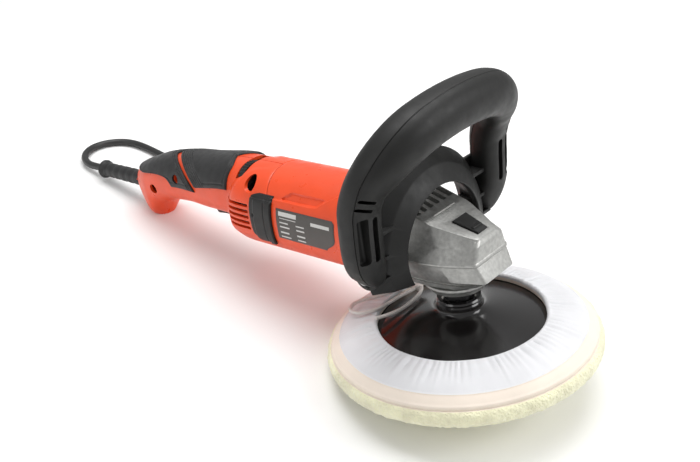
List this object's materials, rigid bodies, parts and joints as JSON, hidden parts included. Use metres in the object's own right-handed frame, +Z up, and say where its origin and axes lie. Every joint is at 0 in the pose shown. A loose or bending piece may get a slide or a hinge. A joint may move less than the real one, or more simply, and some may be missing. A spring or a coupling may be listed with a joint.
{
  "type": "rotary polisher",
  "caption": "Corded rotary polisher with a loop handle round its gear case, a rear trigger handle and a gathered bonnet on a conical backing pad.",
  "frame": {"origin": "on the ground under the middle of the tool, measured without the mains cord; the tool rests tail down on its bonnet and its rear foot", "axes": "+X forward along the tool towards the gear head, +Y to its left, +Z up"},
  "size_m": [0.5855, 0.289, 0.2177],
  "materials": {
    "orange_shell": "moulded satin",
    "black_plastic": "fine moulded grain",
    "gloss_black": "polished",
    "soft_grip": "overmoulded rubber",
    "cast_alloy": "sand-textured die casting",
    "steel": "machined",
    "copper": "bare copper",
    "brass": "stamped",
    "carbon": "pressed carbon",
    "foam": "closed-cell foam",
    "bonnet_cloth": "gathered cloth with a pile face",
    "string": "woven tape",
    "plate": "printed label stock, left blank",
    "cord_rubber": "smooth sheath"
  },
  "bodies": {
    "tool_body": {"gear_case": "cast_alloy", "bearing_cover": "cast_alloy", "case_screw_1": "steel", "case_screw_2": "steel", "case_screw_3": "steel", "case_screw_4": "steel", "lower_spindle_bearing": "steel", "upper_spindle_bearing": "steel", "stator_core": "steel", "front_motor_bearing": "steel", "rear_motor_bearing": "steel", "shell_screw_1": "steel", "shell_screw_2": "steel", "shell_screw_3": "steel", "shell_screw_4": "steel", "trigger_pin": "steel", "loop_bolt_left": "steel", "loop_bolt_right": "steel", "plug_pin_left": "steel", "plug_pin_right": "steel", "rear_bearing_holder": "black_plastic", "brush_cover_left": "black_plastic", "brush_cover_right": "black_plastic", "switch_body": "black_plastic", "speed_controller": "black_plastic", "loop_handle": "black_plastic", "carbon_brush_left": "carbon", "carbon_brush_right": "carbon", "brush_holder_left": "brass", "brush_holder_right": "brass", "motor_housing": "orange_shell", "handle_shell_left": "orange_shell", "handle_shell_right": "orange_shell", "front_grip_pad": "soft_grip", "rear_grip_pad": "soft_grip", "strain_relief": "soft_grip", "rating_plate": "plate", "mains_cord": "cord_rubber", "cord_coil": "cord_rubber", "cord_tie": "cord_rubber", "cord_tail": "cord_rubber", "plug": "cord_rubber"},
    "spindle_group": {"spindle": "steel", "crown_gear": "steel", "backing_pad": "gloss_black", "pad_insert": "steel", "foam_disc": "foam", "bonnet": "bonnet_cloth", "bow_knot": "string", "drawstring_loop": "string", "drawstring_tail": "string"},
    "armature": {"armature_shaft": "steel", "pinion_gear": "steel", "armature_core": "steel", "armature_winding": "copper", "commutator": "copper", "cooling_fan": "black_plastic"},
    "trigger_lever": {"trigger": "black_plastic"},
    "dial_wheel": {"speed_dial": "black_plastic"},
    "lock_button": {"spindle_lock_button": "black_plastic"}
  },
  "joints": [
    {"name": "spindle_spin", "type": "hinge", "parent": "tool_body", "child": "spindle_group", "pos_m": [0.15796, 0, 0.06073], "axis": [-0.1879, 0, 0.9822], "continuous": true},
    {"name": "motor_spin", "type": "hinge", "parent": "tool_body", "child": "armature", "pos_m": [0.10152, 0, 0.08964], "axis": [0.9822, 0, 0.1879], "continuous": true},
    {"name": "trigger_pull", "type": "hinge", "parent": "tool_body", "child": "trigger_lever", "pos_m": [-0.06938, 0, 0.04626], "axis": [0, 1, 0], "range_deg": [0, 6.5], "stiffness_Nm_per_rad": 0.6, "springref_deg": -8.59},
    {"name": "speed_dial_turn", "type": "hinge", "parent": "tool_body", "child": "dial_wheel", "pos_m": [-0.04122, -0.0066, 0.0827], "axis": [0.9822, 0, 0.1879], "range_deg": [-30, 240]},
    {"name": "lock_button_press", "type": "slide", "parent": "tool_body", "child": "lock_button", "axis": [0.1879, 0, -0.9822], "range_m": [0, 0.0022], "stiffness_N_per_m": 300, "springref_m": -0.004}
  ],
  "couplings": [
    {"joint": "motor_spin", "follows": "spindle_spin", "ratio": -4}
  ]
}
